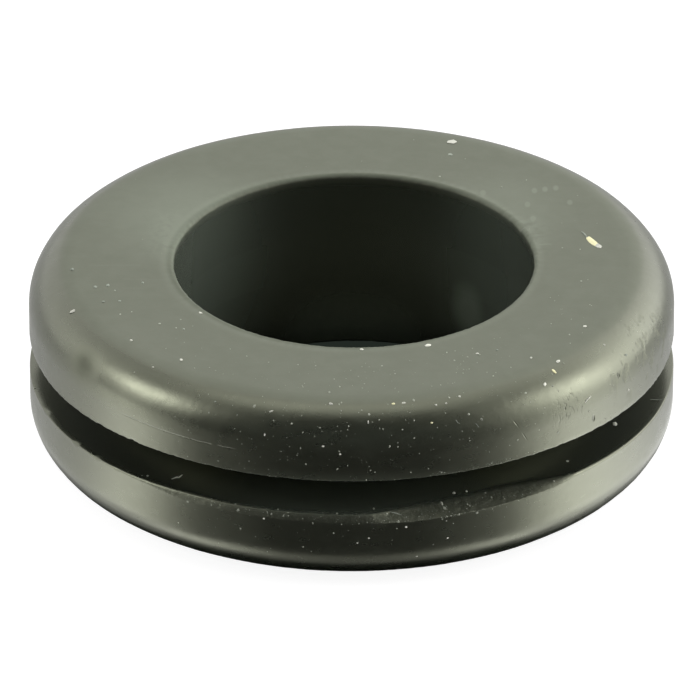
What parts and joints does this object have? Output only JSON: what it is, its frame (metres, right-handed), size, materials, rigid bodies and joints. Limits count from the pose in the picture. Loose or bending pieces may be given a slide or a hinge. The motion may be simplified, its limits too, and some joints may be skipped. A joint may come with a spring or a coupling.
{
  "type": "rubber grommet",
  "caption": "Round rubber panel grommet: flanges with rounded rims either side of a narrow panel groove, and a straight bore for a cable.",
  "frame": {"origin": "centre of the bottom face, on the bore axis", "axes": "+Z along the bore axis, from the bottom flange to the top flange; the ring is round about Z, so X and Y are free"},
  "size_m": [0.025, 0.025, 0.0075],
  "materials": {
    "rubber": "black moulded rubber, satin, with faint scuffs and fine pale dust"
  },
  "bodies": {
    "root": {"grommet": "rubber"}
  },
  "joints": []
}
